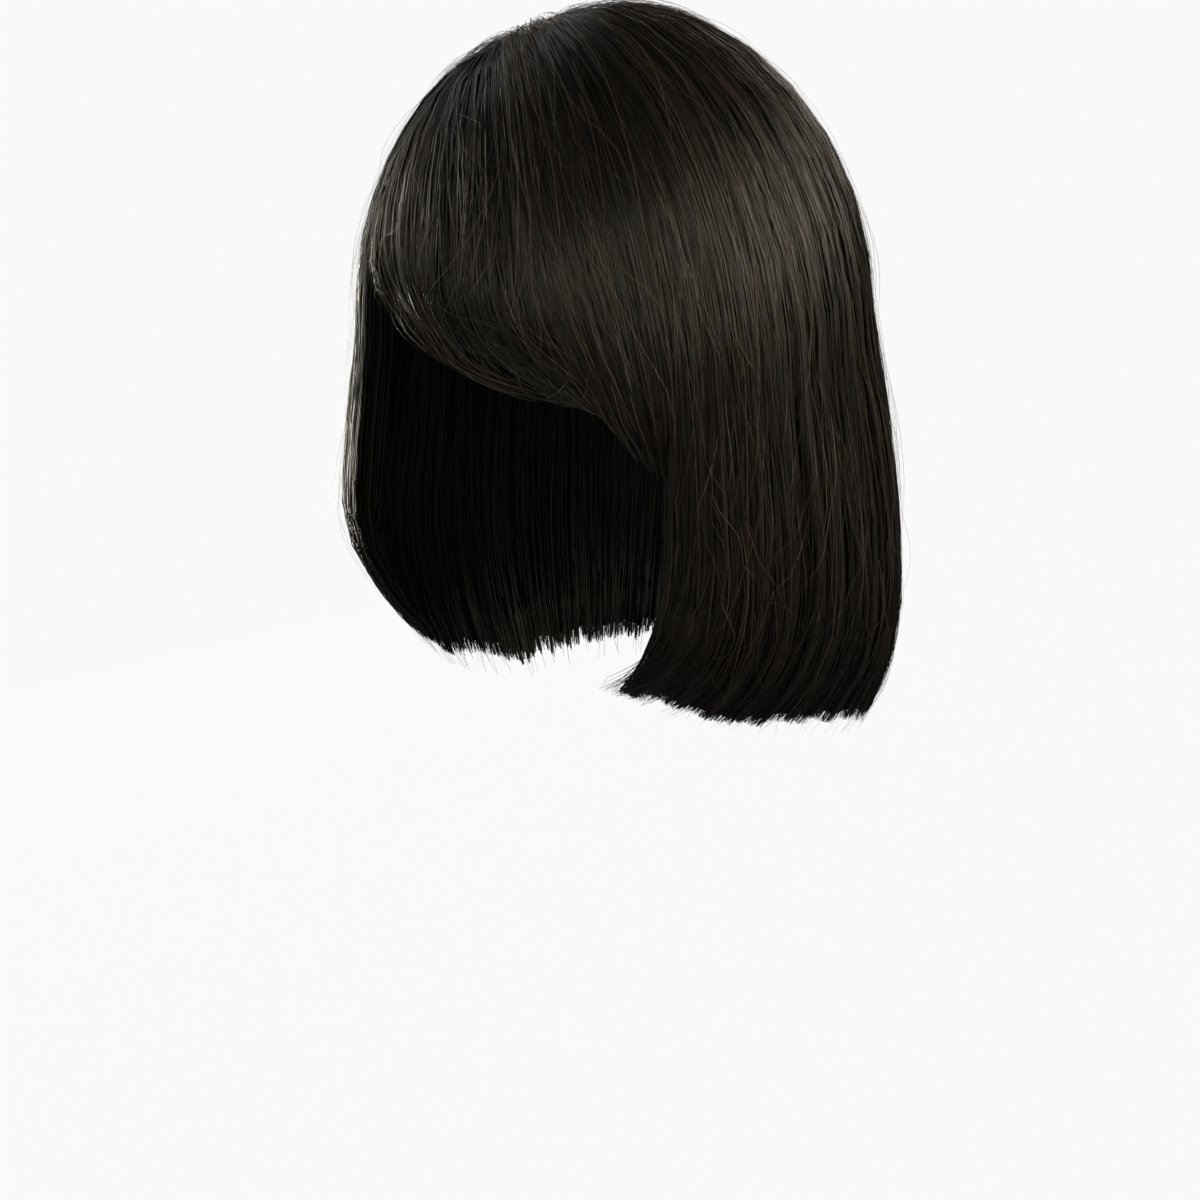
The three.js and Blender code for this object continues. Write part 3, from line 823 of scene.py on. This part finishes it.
def strand_tree(name, material):
    """Turns each line of points into a ribbon with a raised middle, so that it shades as a round strand."""
    tree = bpy.data.node_groups.new(name, "GeometryNodeTree")
    face = tree.interface
    face.new_socket("Geometry", in_out="INPUT", socket_type="NodeSocketGeometry")
    face.new_socket("Ridge", in_out="INPUT", socket_type="NodeSocketFloat")
    face.new_socket("Geometry", in_out="OUTPUT", socket_type="NodeSocketGeometry")
    given = add_node(tree, "NodeGroupInput")
    lines = add_node(tree, "GeometryNodeMeshToCurve", links={"Mesh": given.outputs["Geometry"]})
    outward = add_node(
        tree, "GeometryNodeInputNamedAttribute", data_type="FLOAT_VECTOR", values={"Name": "outward"})
    width = add_node(tree, "GeometryNodeInputNamedAttribute", data_type="FLOAT", values={"Name": "width"})
    along = add_node(tree, "GeometryNodeInputNamedAttribute", data_type="FLOAT", values={"Name": "along"})
    tone = add_node(tree, "GeometryNodeInputNamedAttribute", data_type="FLOAT", values={"Name": "tone"})
    turned = add_node(
        tree, "GeometryNodeSetCurveNormal", mode="FREE",
        links={"Curve": lines.outputs["Curve"], "Normal": outward.outputs["Attribute"]})
    ridge = add_node(tree, "ShaderNodeCombineXYZ", links={"X": given.outputs["Ridge"]})
    profile = add_node(
        tree, "GeometryNodeCurveArc", mode="POINTS",
        values={"Resolution": 3, "Start": (0, -0.5, 0), "End": (0, 0.5, 0)},
        links={"Middle": ridge.outputs["Vector"]})
    ribbons = add_node(
        tree, "GeometryNodeCurveToMesh",
        links={"Curve": turned.outputs["Curve"], "Profile Curve": profile.outputs["Curve"],
               "Scale": width.outputs["Attribute"]})
    uv = add_node(
        tree, "ShaderNodeCombineXYZ",
        links={"X": along.outputs["Attribute"], "Y": tone.outputs["Attribute"]})
    mapped = add_node(
        tree, "GeometryNodeStoreNamedAttribute", data_type="FLOAT2", domain="CORNER",
        values={"Name": "OFBake"},
        links={"Geometry": ribbons.outputs["Mesh"], "Value": uv.outputs["Vector"]})
    smooth = add_node(tree, "GeometryNodeSetShadeSmooth", links={"Geometry": mapped.outputs["Geometry"]})
    real = add_node(tree, "GeometryNodeRealizeInstances", links={"Geometry": smooth.outputs["Geometry"]})
    painted = add_node(
        tree, "GeometryNodeSetMaterial", values={"Material": material},
        links={"Geometry": real.outputs["Geometry"]})
    add_node(tree, "NodeGroupOutput", links={"Geometry": painted.outputs["Geometry"]})
    return tree


def strands_piece(name, strands, tree, material, node):
    """One plain mesh of ribbons, made from the strands' lines by the ribbon tree."""
    count, points = strands["width"].shape
    index = np.arange(count * points).reshape(count, points)
    edges = np.stack([index[:, :-1].ravel(), index[:, 1:].ravel()], 1)
    lines = bpy.data.meshes.new(name + "_lines")
    lines.from_pydata((strands["place"].reshape(-1, 3) * METRES).tolist(), edges.tolist(), [])
    for key in ("outward", "width", "along", "tone"):
        kind, field = ("FLOAT_VECTOR", "vector") if key == "outward" else ("FLOAT", "value")
        values = strands[key] * METRES if key == "width" else strands[key]
        attribute = lines.attributes.new(key, kind, "POINT")
        attribute.data.foreach_set(field, values.astype(np.float32).ravel())
    source = bpy.data.objects.new(name + "_source", lines)
    bpy.context.scene.collection.objects.link(source)
    modifier = source.modifiers.new("ribbons", "NODES")
    modifier.node_group = tree
    ridge = next(s for s in tree.interface.items_tree if s.name == "Ridge")
    modifier[ridge.identifier] = STRAND_RIDGE
    evaluated = source.evaluated_get(bpy.context.evaluated_depsgraph_get())
    mesh = bpy.data.meshes.new_from_object(evaluated)
    mesh.name = name
    for key in ("outward", "width", "along", "tone"):
        if key in mesh.attributes:
            mesh.attributes.remove(mesh.attributes[key])
    source.modifiers.remove(modifier)
    bpy.data.objects.remove(source)
    return make_object(name, mesh, material, node)


def make_camera():
    data = bpy.data.cameras.new("camera")
    data.lens = CAMERA_LENS
    camera = bpy.data.objects.new("camera", data)
    camera.location = CAMERA_PLACE
    look = Vector(CAMERA_AIM) - Vector(CAMERA_PLACE)
    camera.rotation_euler = look.to_track_quat("-Z", "Y").to_euler()
    bpy.context.scene.collection.objects.link(camera)
    bpy.context.scene.camera = camera


# Softboxes: how far round, how high and how far away each stands, its width and height in metres,
# how brightly its face glows, and the colour of its light
LIGHTS = (
    ("front_strip", 0, 11, 2.0, 2.6, 0.5, 1.0, "#fffff8"),
    ("front_low_softbox", 5, -20, 2.0, 1.2, 0.6, 0.22, "#ffffff"),
    ("front_softbox", 45, 32, 2.0, 1.2, 0.7, 2.0, "#fffff8"),
    ("left_strip", 92, 8, 2.0, 1.2, 0.7, 2.9, "#fffbf2"),
    ("left_back_softbox", 130, 17, 2.0, 1.5, 0.9, 4.0, "#fff9ec"),
    ("right_strip", -84, 5, 2.0, 1.3, 0.6, 5.0, "#fffbf2"),
    ("right_high_strip", -105, 30, 2.0, 1.0, 0.5, 2.3, "#f2f7ff"),
    ("back_strip", 198, 5, 2.0, 1.6, 0.5, 4.5, "#fff6e8"),
    ("right_low_strip", -120, -24, 1.5, 1.3, 0.5, 12.0, "#fff9ec"),
)
LIGHT_AIM = (0, 0, -0.12)
WORLD_BRIGHTNESS = 0.08


def make_lights():
    for name, turn, rise, distance, width, height, glow, shade in LIGHTS:
        data = bpy.data.lights.new(name, "AREA")
        data.shape = "RECTANGLE"
        data.size = width
        data.size_y = height
        data.energy = glow * math.pi * width * height
        data.color = colour(shade)[:3]
        light = bpy.data.objects.new(name, data)
        light.visible_camera = False
        level = math.cos(math.radians(rise))
        way = Vector((math.sin(math.radians(turn)) * level, -math.cos(math.radians(turn)) * level,
                      math.sin(math.radians(rise))))
        light.location = Vector(LIGHT_AIM) + way * distance
        light.rotation_euler = (-way).to_track_quat("-Z", "Y").to_euler()
        bpy.context.scene.collection.objects.link(light)
    world = bpy.data.worlds.new("studio")
    bpy.context.scene.world = world
    world.use_nodes = True
    world.node_tree.nodes.clear()
    glow = add_node(world.node_tree, "ShaderNodeBackground",
                    values={"Color": colour("#ffffff"), "Strength": WORLD_BRIGHTNESS})
    add_node(world.node_tree, "ShaderNodeOutputWorld", links={"Surface": glow.outputs["Background"]})
    bpy.context.scene.view_settings.view_transform = "Standard"


SWEEP_ROUNDS = 64
# The sweep's outline from its middle outwards, in metres: how far out, and how high over the floor
SWEEP_OUTLINE = ((0.0, 0.0), (5.0, 0.0), (6.0, 0.15), (6.8, 0.6), (7.3, 1.4), (7.5, 2.6), (7.5, 6.0))


def make_floor():
    """A plain pale floor that sweeps up into a pale wall all round."""
    points = [(0.0, 0.0, FLOOR_HEIGHT)]
    for out, up in SWEEP_OUTLINE[1:]:
        for k in range(SWEEP_ROUNDS):
            turn = 2 * math.pi * k / SWEEP_ROUNDS
            points.append((out * math.cos(turn), out * math.sin(turn), FLOOR_HEIGHT + up))
    faces = [(0, 1 + k, 1 + (k + 1) % SWEEP_ROUNDS) for k in range(SWEEP_ROUNDS)]
    for ring in range(len(SWEEP_OUTLINE) - 2):
        low = 1 + ring * SWEEP_ROUNDS
        for k in range(SWEEP_ROUNDS):
            after = (k + 1) % SWEEP_ROUNDS
            faces.append((low + k, low + SWEEP_ROUNDS + k, low + SWEEP_ROUNDS + after, low + after))
    mesh = bpy.data.meshes.new("floor")
    mesh.from_pydata(points, [], faces)
    mesh.polygons.foreach_set("use_smooth", np.ones(len(mesh.polygons), bool))
    floor = bpy.data.objects.new("floor", mesh)
    bpy.context.scene.collection.objects.link(floor)
    material = new_material("pale_matt_paper")
    shader = add_node(
        material.node_tree, "ShaderNodeBsdfPrincipled",
        values={"Base Color": colour("#040404"), "Roughness": 0.9, "Specular IOR Level": 0.0,
                "Emission Color": colour("#ffffff"), "Emission Strength": FLOOR_GLOW})
    add_node(material.node_tree, "ShaderNodeOutputMaterial", links={"Surface": shader.outputs["BSDF"]})
    mesh.materials.append(material)
    # The paper is pale to the camera but throws no light up into the hair
    floor.visible_glossy = False
    floor.visible_diffuse = False
    floor.visible_shadow = False


make_camera()
make_lights()
make_floor()

hair = hair_fibre_material("dark_brown_hair_fibre", HAIR_TONES)
# The loose hairs' material is the same hair with painted light: its tones are lighter because loose hairs
# are lit all round
loose_hair = hair_fibre_material("loose_hair_fibre_painted_lighter", PAINTED_LIGHT_LOOSE_TONES)
# The under layers' material is the hair with painted shade
mass = hair_mass_painted_shade_material()
ribbons = strand_tree("strand_ribbons", hair)
loose_ribbons = strand_tree("loose_ribbons", loose_hair)
for part in SECTIONS:
    node = part["name"]
    under_layer(part, mass)
    strands_piece(node + "_strands", lay_strands(part), ribbons, hair, node)
    strands_piece(node + "_loose_hairs", stray_hairs(part), loose_ribbons, loose_hair, node)
    strands_piece(node + "_wisps", tip_wisps(part), ribbons, hair, node)

net_cap(net_material())
